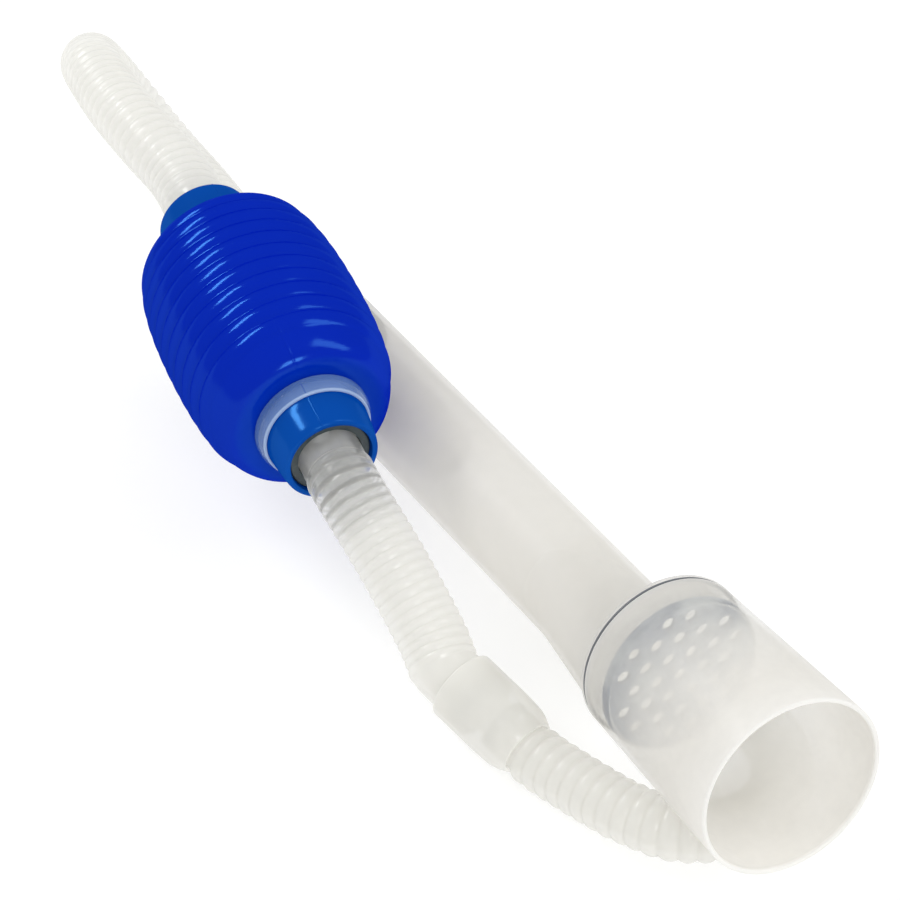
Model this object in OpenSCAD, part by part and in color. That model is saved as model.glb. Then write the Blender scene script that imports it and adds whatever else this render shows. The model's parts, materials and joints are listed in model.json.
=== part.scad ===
// Hand-pump aquarium siphon with a gravel-cleaning tube, lying folded up.
// The water goes from the mouth of the barrel through the strainer, up the riser
// tube and the inlet hose, through the squeeze bulb and out by the outlet hose.
// Lengths are in millimetres. X is to the right, Y runs along the gravel tube
// from its mouth to its far end, Z is up, and the floor is at Z = 0.

/* [Gravel tube] */
// Outer radius of the barrel at its open mouth
mouth_r = 27; // [25.5:0.1:29]
// Outer radius of the barrel at the seam with the cap
barrel_r = 24.8; // [23.5:0.1:25.3]
// Length of the barrel from its mouth to the seam
barrel_len = 64; // [58:1:72]
// Wall thickness of the barrel
barrel_wall = 1.2; // [1:0.1:1.6]
// Width of the flat rim round the mouth
rim_w = 1.4; // [1.3:0.1:2]
// Height of the cap over the seam
cap_len = 5; // [4:0.5:7]
// Length of the flank on which the cap runs out along the riser tube
flank_len = 48; // [44:1:52]
// Radius of the flank where it leaves the seam
flank_r = 19; // [18:0.1:19.4]
// Shift of the flank to the left of the riser tube
flank_side = 2.2; // [1.6:0.1:2.6]
// Outer radius of the narrow riser tube
riser_r = 15.7; // [15:0.1:16.4]
// Length from the seam to the far end of the riser tube
riser_len = 200; // [190:1:212]
// How far the riser tube is set off from the middle of the barrel
riser_off = 6.8; // [5.5:0.1:7.6]
// Wall thickness of the riser tube and of its spigot
tube_wall = 1.3; // [1.1:0.1:1.6]
// Depth to which the spigot of the cap goes into the barrel
spigot_len = 7; // [5:0.5:9]
// Thickness of the gasket in the seam
gasket_t = 0.6; // [0.5:0.05:0.65]

/* [Strainer] */
// Thickness of the strainer disc
strainer_t = 1.5; // [1.2:0.1:2]
// Radius of the holes in the strainer disc
strainer_hole_r = 2; // [1.6:0.1:2.4]
// Distance between neighbouring holes
strainer_pitch = 7; // [6.4:0.1:8]
// Depth of the ledge inside the barrel that carries the disc
ledge_w = 1; // [0.8:0.1:1.4]

/* [Hose bushing] */
// Length of the bushing inside the riser tube
bushing_len = 12; // [9:0.5:16]
// Thickness of the bushing's flange
flange_t = 2.5; // [1.5:0.1:3]

/* [Squeeze bulb] */
// Radius of the bulb between its ribs at the middle
bulb_r = 29.8; // [28.8:0.1:30.4]
// Length of the bulb from lip to lip
bulb_len = 114; // [109:1:120]
// Wall thickness of the bulb
bulb_wall = 2.2; // [1.8:0.1:2.8]
// Number of moulded ring ribs
bulb_ribs = 11; // [8:1:13]
// Height of the ring ribs
rib_h = 0.8; // [0.5:0.05:1]
// Outer radius of the necks
neck_r = 15.3; // [14.9:0.1:15.7]
// Inner radius of the necks
neck_bore_r = 12.2; // [11.9:0.1:12.5]
// Length of each neck from its lip to the shoulder
neck_len = 17.5; // [16.8:0.1:18.2]
// Outer radius of the collars round the necks
collar_r = 17.2; // [16.9:0.1:17.8]
// Length of the collars
collar_len = 5.8; // [4.8:0.1:6.4]

/* [Valves] */
// Radius of the valve discs
disc_r = 9.6; // [9.2:0.1:10]
// Thickness of the valve discs
disc_t = 1.2; // [0.8:0.1:1.4]
// How far a valve disc lifts off its seat
valve_lift = 2.5; // [1.8:0.1:2.8]
// Thickness of the valve seats
seat_t = 2; // [1.6:0.1:2.2]
// Number of water holes in a valve seat
seat_holes = 6; // [5:1:8]
// Radius of the water holes
seat_hole_r = 1.9; // [1.4:0.1:2.1]
// Radius of the valve pins
pin_r = 1.4; // [1.1:0.1:1.7]
// Radius of the heads of the valve pins
pin_head_r = 3; // [2.6:0.1:3.4]

/* [Hoses] */
// Outer radius of the inlet and stub hoses over their ribs
hose_r = 10; // [9.8:0.05:10.2]
// Outer radius of the plain ends of those hoses
hose_plain_r = 9.3; // [9:0.05:9.4]
// Depth of the grooves between the ribs
groove = 0.9; // [0.7:0.1:1.3]
// Inner radius of the inlet and stub hoses
hose_bore_r = 7.2; // [6.5:0.1:7.4]
// Number of ribs on the inlet hose
inlet_ribs = 90; // [70:1:100]
// Number of ribs on the stub hose
stub_ribs = 22; // [16:1:25]
// Outer radius of the outlet hose over its ribs
outlet_r = 8.7; // [8.5:0.05:8.8]
// Outer radius of the plain ends of the outlet hose
outlet_plain_r = 7.4; // [7.2:0.05:7.5]
// Inner radius of the outlet hose
outlet_bore_r = 6; // [5.6:0.1:6.2]
// Number of ribs on the outlet hose
outlet_ribs = 40; // [30:1:44]

/* [Cuffs] */
// Length of the cuff that joins the two outlet hoses
cuff_len = 27; // [25:0.5:29]
// Outer radius of that cuff
cuff_r = 10.7; // [10.5:0.1:10.9]
// Depth to which the hoses go into the cuffs
plug_len = 10; // [8:0.5:11]
// Length of the cuff at the free end
end_cuff_len = 28; // [25:0.5:29]
// Outer radius of the cuff at the free end
end_cuff_r = 8.8; // [8.6:0.05:8.9]
// Inner radius of the free end, where a fitting goes in
socket_r = 6.6; // [6:0.1:7]

/* [Clearances] */
// Gap round the spigot, on which the barrel slides
slide_gap = 0.1; // [0.06:0.02:0.2]
// Gap of the pieces that are pushed into each other and stay there
seat_gap = 0.05; // [0.02:0.01:0.08]
// Gap round the hoses where they go into a piece
hose_gap = 0.3; // [0.2:0.05:0.35]
// Gap round a valve pin, on which its disc slides
pin_gap = 0.08; // [0.05:0.01:0.1]
// Gap between pieces that move apart
free_gap = 0.3; // [0.25:0.05:0.4]

/* [Hidden] */
$fn = 96;

milky = [0.91, 0.9, 0.87];
blue = [0.02, 0.1, 0.62];
clear_blue = [0.5, 0.6, 0.8];
dark = [0.2, 0.25, 0.29];
white = [0.86, 0.88, 0.88];

// Sides of a hose ring, and how far its corners stand out past the true radius
sides = 8;
corner = 1.04;
// Height of the centre line of a hose that lies on the floor
inlet_z = hose_r + 0.4;
outlet_z = end_cuff_r;

// Gravel tube: stations along its axis, counted from the mouth
seam = barrel_len + 2 * free_gap + gasket_t - 0.2;
riser_end = seam + riser_len;
flank_off = riser_off - 1.5;
flank_end_r = riser_r - flank_side - 0.1;
socket_wall_r = barrel_r - barrel_wall;
spigot_r = socket_wall_r - slide_gap;
spigot_in = spigot_r - tube_wall;
disc_seat = barrel_len - spigot_len - strainer_t - free_gap;
strainer_r = socket_wall_r - slide_gap;

// The mouth is propped up on the outlet hose, and the far end is on the floor
prop = 27;
prop_r = mouth_r - (mouth_r - barrel_r) * prop / barrel_len;
prop_top = outlet_z + outlet_r + free_gap;
tilt = asin((prop_top + prop_r - riser_off - riser_r) / (riser_end - prop));
mouth = [20.85, -142.86, riser_end * sin(tilt) + (riser_off + riser_r) * cos(tilt)];
tube_dir = [0, cos(tilt), -sin(tilt)];
tube_down = [0, -sin(tilt), -cos(tilt)];
function riser_point(s) = mouth + s * tube_dir + riser_off * tube_down;

// Squeeze bulb: it lies against the riser tube, up on its left side
bulb_yaw = 7.4;
bulb_rise = 3;
lean = 40.8;
lean_gap = 2;
lean_d = riser_r + bulb_r + rib_h + lean_gap;
bulb_mid = riser_point(riser_end - 33.6) + lean_d * [-cos(lean), 0, sin(lean)];
bulb_dir = [sin(bulb_yaw) * cos(bulb_rise), cos(bulb_yaw) * cos(bulb_rise), sin(bulb_rise)];
function bulb_point(u) = bulb_mid + (u - bulb_len / 2) * bulb_dir;
shoulder_r = neck_r + 1.9;
rib_start = neck_len + 9.3;
rib_end = bulb_len - neck_len - 2.8;
rib_pitch = (rib_end - rib_start) / bulb_ribs;
ledge_r = neck_bore_r - 1.2;
ledge_t = 1.2;

// Valves and seals: stations inside a neck, counted from its lip
pocket = neck_len + 1;
seat_face = pocket - seat_gap - seat_t;
seal_in = 1.6;
seal_out = 9;
pin_head_t = 1.2;

// Cuff between the two outlet hoses
cuff_at = [-19.5, -39, 15.8];
cuff_yaw = 164.9;
cuff_rise = -13.1;
cuff_dir = [sin(cuff_yaw) * cos(cuff_rise), cos(cuff_yaw) * cos(cuff_rise), sin(cuff_rise)];
// Cuff at the free end, turned a little away from the riser tube
end_at = [38.6, -30, outlet_z];
end_yaw = 3;
end_dir = [sin(end_yaw), cos(end_yaw), 0];

// Routes of the hoses' centre lines
exit = riser_point(riser_end);
inlet_route = [
    riser_point(riser_end - 76),
    riser_point(riser_end - 38),
    exit,
    riser_point(riser_end + 25),
    [22, exit[1] + 63, inlet_z],
    [22.5, exit[1] + 93, inlet_z],
    [21, exit[1] + 114, 12.5],
    [16, exit[1] + 128, 22],
    [9.5, exit[1] + 132.5, 33.5],
    [2, exit[1] + 127, 45.5],
    [-4, exit[1] + 111, 54],
    [-7.5, exit[1] + 86, 57],
    [-7.2, exit[1] + 63, 56.5],
    bulb_point(bulb_len + 22),
    bulb_point(bulb_len),
    bulb_point(bulb_len - seal_out)
];
stub_route = [
    bulb_point(seal_out),
    bulb_point(0),
    bulb_point(-14),
    [-22.4, -3, 35.5],
    [-20.6, -23, 23],
    cuff_at - 6 * cuff_dir,
    cuff_at,
    cuff_at + plug_len * cuff_dir
];
outlet_route = [
    cuff_at + (cuff_len - plug_len) * cuff_dir,
    cuff_at + cuff_len * cuff_dir,
    cuff_at + (cuff_len + 8) * cuff_dir + [0, 0, 1],
    [-5, -88, outlet_z],
    [0, -99.5, outlet_z],
    [8.6, -111, outlet_z],
    [24, -116.5, outlet_z],
    [39, -111, outlet_z],
    [48, -96, outlet_z],
    [47.4, -78, outlet_z],
    [41.6, -61, outlet_z],
    end_at - 16 * end_dir,
    end_at,
    end_at + plug_len * end_dir
];

// A smooth curve through the points of a route
steps = 12;
function unit(v) = v / norm(v);
function curve(p, i, t) =
    let (b = p[i], c = p[i + 1])
    let (a = i > 0 ? p[i - 1] : 2 * b - c)
    let (d = i + 2 < len(p) ? p[i + 2] : 2 * c - b)
    0.5 * (2 * b + (c - a) * t + (2 * a - 5 * b + 4 * c - d) * t * t
        + (3 * b - a - 3 * c + d) * t * t * t);
function dense(p) = concat(
    [for (i = [0 : len(p) - 2]) for (k = [0 : steps - 1]) curve(p, i, k / steps)],
    [p[len(p) - 1]]);
function gap_after(q, i) = i + 1 < len(q) ? norm(q[i + 1] - q[i]) : 0;
function runs(q) = [for (i = 0, s = 0; i < len(q); s = s + gap_after(q, i), i = i + 1) s];
// The same curve as three tables, one for each axis, over the length run
function tables(q, s) = [for (a = [0 : 2]) [for (i = [0 : len(q) - 1]) [s[i], q[i][a]]]];
function at(tab, s) = [for (a = [0 : 2]) lookup(s, tab[a])];
function heading(tab, s) = unit(at(tab, s + 0.8) - at(tab, s - 0.8));
// One ring of points round the curve, with a flat side towards ref
function ring(tab, s, r, ref) =
    let (t = heading(tab, s))
    let (v = unit(cross(t, ref)))
    let (u = cross(v, t), o = at(tab, s))
    [for (k = [0 : sides - 1])
        let (a = (k + 0.5) * 360 / sides)
        o + r * (cos(a) * u + sin(a) * v)];

// A ribbed hose with plain ends and a smooth bore
module hose(route, ref, ribs, crest, root, plain, bore, end_a, end_b) {
    q = dense(route);
    s = runs(q);
    tab = tables(q, s);
    all = s[len(s) - 1];
    step = (all - end_a - end_b) / ribs;
    skin = concat(
        [[0, plain], [end_a - 0.8, plain]],
        [for (i = [0 : ribs - 1]) each [
            [end_a + i * step, root],
            [end_a + (i + 0.5) * step, crest * corner]]],
        [[all - end_b, root], [all - end_b + 0.8, plain], [all, plain]]);
    lines = ceil(all / 8);
    n = len(skin);
    outer = [for (w = skin) each ring(tab, w[0], w[1], ref)];
    inner = [for (j = [0 : lines]) each ring(tab, all * j / lines, bore, ref)];
    first = n * sides;
    last = first + lines * sides;
    top = (n - 1) * sides;
    polyhedron(
        points = concat(outer, inner),
        faces = concat(
            [for (i = [0 : n - 2]) for (k = [0 : sides - 1])
                let (m = (k + 1) % sides, a = i * sides, b = a + sides)
                each [[a + k, b + k, b + m], [a + k, b + m, a + m]]],
            [for (j = [0 : lines - 1]) for (k = [0 : sides - 1])
                let (m = (k + 1) % sides, a = first + j * sides, b = a + sides)
                each [[a + k, b + m, b + k], [a + k, a + m, b + m]]],
            [for (k = [0 : sides - 1])
                let (m = (k + 1) % sides)
                each [[first + k, k, m], [first + k, m, first + m]]],
            [for (k = [0 : sides - 1])
                let (m = (k + 1) % sides)
                each [[last + k, last + m, top + m], [last + k, top + m, top + k]]]),
        convexity = 12);
}

// Places: along the gravel tube from its mouth, along the bulb from its near lip
// or from its far lip, and along the joining cuff
module on_tube(s) {
    translate(mouth)
        rotate([-90 - tilt, 0, 0])
            translate([0, 0, s])
                children();
}

module on_bulb(u) {
    translate(bulb_point(u))
        rotate([bulb_rise - 90, 0, -bulb_yaw])
            children();
}

module on_far_lip() {
    on_bulb(bulb_len)
        mirror([0, 0, 1])
            children();
}

// A round ring with its edges broken
module round_ring(r_in, r_out, z0, z1, e) {
    rotate_extrude()
        polygon([
            [r_in, z0],
            [r_out - e, z0],
            [r_out, z0 + e],
            [r_out, z1 - e],
            [r_out - e, z1],
            [r_in, z1]
        ]);
}

// Wide barrel with a flat rim, a slight taper and an inner ledge for the strainer
module gravel_barrel() {
    taper = (mouth_r - barrel_r) / barrel_len;
    ledge_foot = disc_seat - 2.5;
    color(milky)
        on_tube(0)
            rotate_extrude()
                polygon([
                    [mouth_r - rim_w, 0],
                    [mouth_r, 0],
                    [mouth_r - 2.2 * taper, 2.2],
                    [barrel_r, barrel_len],
                    [socket_wall_r, barrel_len],
                    [socket_wall_r, disc_seat],
                    [socket_wall_r - ledge_w, disc_seat],
                    [socket_wall_r - ledge_w, disc_seat - 1],
                    [mouth_r - barrel_wall - taper * ledge_foot, ledge_foot],
                    [mouth_r - barrel_wall - taper * 3, 3],
                    [mouth_r - rim_w, 1.8]
                ]);
}

// Flat round disc with a field of holes, held on the ledge in the barrel
module strainer_disc() {
    row = strainer_pitch * sqrt(3) / 2;
    field = spigot_in - strainer_hole_r - 1;
    color(dark)
        on_tube(disc_seat + seat_gap)
            difference() {
                cylinder(r = strainer_r, h = strainer_t);
                for (j = [-4 : 4])
                    for (i = [-4 : 4]) {
                        x = (i + (abs(j) % 2) / 2) * strainer_pitch;
                        y = j * row;
                        if (norm([x, y]) < field)
                            translate([x, y, -1])
                                cylinder(r = strainer_hole_r, h = strainer_t + 2, $fn = 24);
                    }
            }
}

// Thin gasket on the spigot, between the end of the barrel and the cap
module seam_gasket() {
    color(dark)
        on_tube(seam - seat_gap - gasket_t)
            rotate_extrude()
                translate([spigot_r + seat_gap, 0])
                    square([barrel_r - spigot_r - seat_gap - 0.25, gasket_t]);
}

// Outline of a cap of radius r and height h that stands on station z0
function cap(r, h, z0) =
    [for (i = [0 : 14])
        let (x = sin(i * 90 / 14))
        [r * pow(1 - pow(x, 2.4), 0.38), z0 + h * x]];

// Spigot, cap and off-centre riser tube in one thin-walled moulding
module riser_tube() {
    spigot_end = disc_seat + strainer_t + free_gap;
    color(milky)
        on_tube(0)
            difference() {
                union() {
                    rotate_extrude()
                        polygon(concat(
                            [[0, spigot_end], [spigot_r, spigot_end], [spigot_r, seam]],
                            cap(barrel_r, cap_len, seam)));
                    translate([0, riser_off, seam + 1])
                        cylinder(r = riser_r, h = riser_len - 1);
                    translate([-flank_side, flank_off, seam + 1])
                        cylinder(r1 = flank_r, r2 = flank_end_r, h = flank_len);
                }
                rotate_extrude()
                    polygon(concat(
                        [[0, spigot_end - 1], [spigot_in, spigot_end - 1]],
                        cap(spigot_in, cap_len - tube_wall, seam)));
                translate([0, riser_off, seam + 1])
                    cylinder(r = riser_r - tube_wall, h = riser_len);
                translate([-flank_side, flank_off, seam + 0.6])
                    cylinder(r1 = flank_r - tube_wall, r2 = flank_end_r - tube_wall, h = flank_len);
            }
}

// Flanged plug in the far end of the riser tube, through which the hose goes
module hose_bushing() {
    hole = hose_r * corner + hose_gap;
    color(dark)
        on_tube(riser_end)
            translate([0, riser_off, 0])
                rotate_extrude()
                    polygon([
                        [hole, -bushing_len],
                        [riser_r - tube_wall - seat_gap, -bushing_len],
                        [riser_r - tube_wall - seat_gap, seat_gap],
                        [riser_r - 0.7, seat_gap],
                        [riser_r - 0.7, flange_t - 0.8],
                        [riser_r - 1.5, flange_t],
                        [hole, flange_t]
                    ]);
}

// Ribbed hose from inside the riser tube, in a tight loop, to the far neck
module inlet_hose() {
    color(milky)
        hose(inlet_route, [1, 0, 0], inlet_ribs, hose_r, hose_r - groove,
            hose_plain_r, hose_bore_r, 10, seal_out + 7);
}

// Radius of the bulb's body without its ribs, at a place u along it
function body_r(u) =
    let (h = bulb_len / 2 - neck_len)
    let (x = min(1, abs(u - bulb_len / 2) / h))
    shoulder_r + (bulb_r - shoulder_r) * pow(1 - pow(x, 2.2), 0.26);
// A rounded rib with a narrow groove on each side, f going from 0 to 1 over it
function rib(f) = rib_h * pow(sin(180 * f), 0.7);

// Blow-moulded bulb: ring ribs, smooth shoulders and a lipped neck at each end
module squeeze_bulb() {
    neck = [[neck_bore_r, 0], [neck_r - 2, 0], [neck_r - 1.3, 0.6], [neck_r - 1, 1.8],
        [neck_r, neck_len - collar_len], [neck_r, neck_len], [shoulder_r, neck_len]];
    hollow = [[ledge_r, pocket + ledge_t], [ledge_r, pocket], [neck_bore_r, pocket]];
    wide = bulb_len - 2 * (pocket + ledge_t);
    color(blue)
        on_bulb(0)
            rotate_extrude()
                polygon(concat(
                    neck,
                    [for (i = [1 : 8])
                        let (u = neck_len + (rib_start - neck_len) * pow(i / 8, 2.6))
                        [body_r(u), u]],
                    [for (i = [0 : bulb_ribs - 1]) for (k = [0 : 5])
                        let (u = rib_start + (i + (k + 0.5) / 6) * rib_pitch)
                        [body_r(u) + rib((k + 0.5) / 6), u]],
                    [for (i = [0 : 5])
                        let (g = (bulb_len - neck_len - rib_end) * pow(1 - i / 6, 2.2))
                        let (u = bulb_len - neck_len - g)
                        [body_r(u), u]],
                    [for (i = [len(neck) - 1 : -1 : 0]) [neck[i][0], bulb_len - neck[i][1]]],
                    [for (i = [len(hollow) - 1 : -1 : 0]) [hollow[i][0], bulb_len - hollow[i][1]]],
                    [for (i = [16 : -1 : 0])
                        let (u = bulb_len / 2 - wide / 2 * cos(180 * i / 16))
                        [body_r(u) - bulb_wall, u]],
                    hollow));
}

// Clear ring round a neck, up against the shoulder of the bulb, with a wide bevel in front
module collar() {
    in_r = neck_r + seat_gap;
    back = neck_len - seat_gap;
    front = back - collar_len;
    rotate_extrude()
        polygon([
            [in_r, front],
            [in_r + 0.8, front],
            [in_r + 1, front + 0.6],
            [collar_r - 0.3, front + 2.8],
            [collar_r, front + 3.8],
            [collar_r, back - 0.5],
            [collar_r - 0.5, back],
            [in_r, back]
        ]);
}

module near_collar() {
    color(clear_blue)
        on_bulb(0)
            collar();
}

module far_collar() {
    color(clear_blue)
        on_far_lip()
            collar();
}

// Soft ring between a neck and the plain end of its hose
module seal() {
    round_ring(hose_plain_r + hose_gap, neck_bore_r - seat_gap, seal_in, seal_out, 0.5);
}

module near_seal() {
    color(dark)
        on_bulb(0)
            seal();
}

module far_seal() {
    color(dark)
        on_far_lip()
            seal();
}

// Holed plate that stands against the ledge in a neck
module valve_seat() {
    ring_r = (pin_r + disc_r) / 2 + 0.6;
    translate([0, 0, seat_face])
        difference() {
            cylinder(r = neck_bore_r - seat_gap, h = seat_t);
            translate([0, 0, -1])
                cylinder(r = pin_r + seat_gap, h = seat_t + 2);
            for (i = [0 : seat_holes - 1])
                rotate([0, 0, i * 360 / seat_holes])
                    translate([ring_r, 0, -1])
                        cylinder(r = seat_hole_r, h = seat_t + 2);
        }
}

// Soft disc from z0 on, with a hole for its pin
module valve_disc(z0) {
    translate([0, 0, z0])
        difference() {
            cylinder(r = disc_r, h = disc_t);
            translate([0, 0, -1])
                cylinder(r = pin_r + pin_gap, h = disc_t + 2);
        }
}

// Headed pin from its head at z0 to the far face of its seat at z1
module valve_pin(z0, z1) {
    translate([0, 0, z0])
        cylinder(r = pin_head_r, h = pin_head_t);
    translate([0, 0, z0])
        cylinder(r = pin_r, h = z1 - z0);
}

// The outlet valve opens away from the bulb
near_disc_at = seat_face - seat_gap - disc_t;
near_head_at = near_disc_at - valve_lift - free_gap - pin_head_t;

module near_valve_seat() {
    color(white)
        on_bulb(0)
            valve_seat();
}

module near_valve_disc() {
    color(dark)
        on_bulb(0)
            valve_disc(near_disc_at);
}

module near_valve_pin() {
    color(white)
        on_bulb(0)
            valve_pin(near_head_at, seat_face + seat_t);
}

// The inlet valve opens into the bulb
far_seat_back = bulb_len - seat_face - seat_t;
far_disc_at = far_seat_back - seat_gap - disc_t;
far_head_at = far_disc_at - valve_lift - free_gap - pin_head_t;

module far_valve_seat() {
    color(white)
        on_far_lip()
            valve_seat();
}

module far_valve_disc() {
    color(dark)
        on_bulb(0)
            valve_disc(far_disc_at);
}

module far_valve_pin() {
    color(white)
        on_bulb(0)
            valve_pin(far_head_at, far_seat_back + seat_t);
}

// Ribbed hose from the near neck down to the joining cuff
module stub_hose() {
    color(milky)
        hose(stub_route, [0, 0, 1], stub_ribs, hose_r, hose_r - groove,
            hose_plain_r, hose_bore_r, seal_out + 7, plug_len + 7);
}

// Smooth sleeve with a socket for the stub hose and a smaller one for the outlet hose
module joining_cuff() {
    in_r = hose_plain_r + hose_gap;
    out_r = outlet_plain_r + hose_gap;
    color(milky)
        translate(cuff_at)
            rotate([cuff_rise - 90, 0, -cuff_yaw])
                rotate_extrude()
                    polygon([
                        [in_r, 0],
                        [cuff_r - 0.4, 0],
                        [cuff_r, 0.8],
                        [cuff_r, cuff_len - 6],
                        [cuff_r - 0.5, cuff_len - 3.5],
                        [cuff_r - 1.6, cuff_len - 0.6],
                        [cuff_r - 2.2, cuff_len],
                        [out_r, cuff_len],
                        [out_r, cuff_len - plug_len - seat_gap],
                        [outlet_bore_r, cuff_len - plug_len - seat_gap],
                        [outlet_bore_r, plug_len + seat_gap],
                        [in_r, plug_len + seat_gap]
                    ]);
}

// Ribbed hose from the joining cuff, under the barrel and back beside the riser tube
module outlet_hose() {
    color(milky)
        hose(outlet_route, [0, 0, 1], outlet_ribs, outlet_r, outlet_r - groove,
            outlet_plain_r, outlet_bore_r, plug_len + 1.5, plug_len + 1.5);
}

// Smooth sleeve at the free end, with a socket for a fitting
module outlet_end_cuff() {
    in_r = outlet_plain_r + hose_gap;
    color(milky)
        translate(end_at)
            rotate([-90, 0, -end_yaw])
                difference() {
                    round_ring(socket_r, end_cuff_r, 0, end_cuff_len, 0.5);
                    translate([0, 0, -1])
                        cylinder(r = in_r, h = plug_len + seat_gap + 1);
                }
}

gravel_barrel();
strainer_disc();
seam_gasket();
riser_tube();
hose_bushing();
inlet_hose();
squeeze_bulb();
near_collar();
far_collar();
near_seal();
far_seal();
near_valve_seat();
near_valve_disc();
near_valve_pin();
far_valve_seat();
far_valve_disc();
far_valve_pin();
stub_hose();
joining_cuff();
outlet_hose();
outlet_end_cuff();
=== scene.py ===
"""Dressed model of a hand-pump aquarium siphon with a gravel-cleaning tube."""

import json
import logging
import math
from dataclasses import dataclass, field
from enum import Enum
from typing import Any, Callable, Sequence

import bpy
import numpy as np
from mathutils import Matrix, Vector

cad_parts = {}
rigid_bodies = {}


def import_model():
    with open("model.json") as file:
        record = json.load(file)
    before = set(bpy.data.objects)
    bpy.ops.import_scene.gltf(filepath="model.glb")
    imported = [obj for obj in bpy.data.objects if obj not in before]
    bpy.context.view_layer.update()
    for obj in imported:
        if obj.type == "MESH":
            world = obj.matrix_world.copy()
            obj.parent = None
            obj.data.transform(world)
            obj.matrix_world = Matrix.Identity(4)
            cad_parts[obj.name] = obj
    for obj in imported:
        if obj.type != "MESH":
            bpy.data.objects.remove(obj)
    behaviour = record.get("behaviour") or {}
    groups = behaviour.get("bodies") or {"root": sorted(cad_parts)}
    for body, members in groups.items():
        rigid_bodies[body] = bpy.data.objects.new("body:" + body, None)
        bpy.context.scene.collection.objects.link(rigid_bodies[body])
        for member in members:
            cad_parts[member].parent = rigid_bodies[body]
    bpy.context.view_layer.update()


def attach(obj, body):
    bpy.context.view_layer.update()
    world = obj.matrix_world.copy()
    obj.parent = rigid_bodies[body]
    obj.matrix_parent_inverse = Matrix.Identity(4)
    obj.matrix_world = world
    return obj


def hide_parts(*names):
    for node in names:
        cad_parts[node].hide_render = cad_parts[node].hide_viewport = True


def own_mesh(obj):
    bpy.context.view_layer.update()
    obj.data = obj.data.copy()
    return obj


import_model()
LOG = logging.getLogger("siphon")
MM = 0.001
BUMP_DEPTH = 0.0002
PLAIN_CREST = 0.8
Array = np.ndarray
Piece = bpy.types.Object
Outline = list[tuple[float, float]]


def vec(*xyz: float) -> Array:
    """A point or direction as an array of floats."""
    return np.array(xyz, float)


def unit(v: Array) -> Array:
    """The direction of v, with length 1."""
    return v / np.linalg.norm(v)


def around(count: int) -> Array:
    """Even angles round a full turn, in radians."""
    return np.linspace(0, 2 * math.pi, count + 1)[:-1]


def aim(yaw: float, rise: float) -> Array:
    """The direction turned yaw degrees from y towards x and raised by rise degrees."""
    a, b = math.radians(yaw), math.radians(rise)
    return vec(math.sin(a) * math.cos(b), math.cos(a) * math.cos(b), math.sin(b))


# node helpers
def math_method(operation: str, swapped: bool = False) -> Callable[["Value", Any], "Value"]:
    """Make a method of Value that adds a Math node.

    Args:
        operation: the node's operation.
        swapped: whether the other term comes first.

    Returns:
        The method, which takes the other term.
    """

    def method(self: "Value", other: Any) -> "Value":
        """The operation on this value and the other term."""
        terms = (other, self) if swapped else (self, other)
        return self.graph.maths(operation, *terms)

    return method


class Value:
    """A node socket that takes part in Python expressions."""

    def __init__(self, graph: "Graph", socket: Any) -> None:
        """Keep the socket and the graph that it belongs to."""
        self.graph = graph
        self.socket = socket

    __add__ = __radd__ = math_method("ADD")
    __sub__ = math_method("SUBTRACT")
    __rsub__ = math_method("SUBTRACT", swapped=True)
    __mul__ = math_method("MULTIPLY")
    __truediv__ = math_method("DIVIDE")
    __pow__ = math_method("POWER")
    over = math_method("GREATER_THAN")
    under = math_method("LESS_THAN")

    def sin(self) -> "Value":
        """Sine of an angle in radians."""
        return self.graph.maths("SINE", self)

    def fract(self) -> "Value":
        """What is left after the whole part."""
        return self.graph.maths("FRACT", self)

    def clamp(self) -> "Value":
        """The value held between 0 and 1."""
        return self.graph.maths("MINIMUM", self.graph.maths("MAXIMUM", self, 0.0), 1.0)

    def step(self, low: float, high: float) -> "Value":
        """A smooth step from 0 at low to 1 at high."""
        terms = {"Value": self, "From Min": low, "From Max": high}
        made = self.graph.node("ShaderNodeMapRange", terms, interpolation_type="SMOOTHSTEP")
        return Value(self.graph, made.outputs["Result"])


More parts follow.
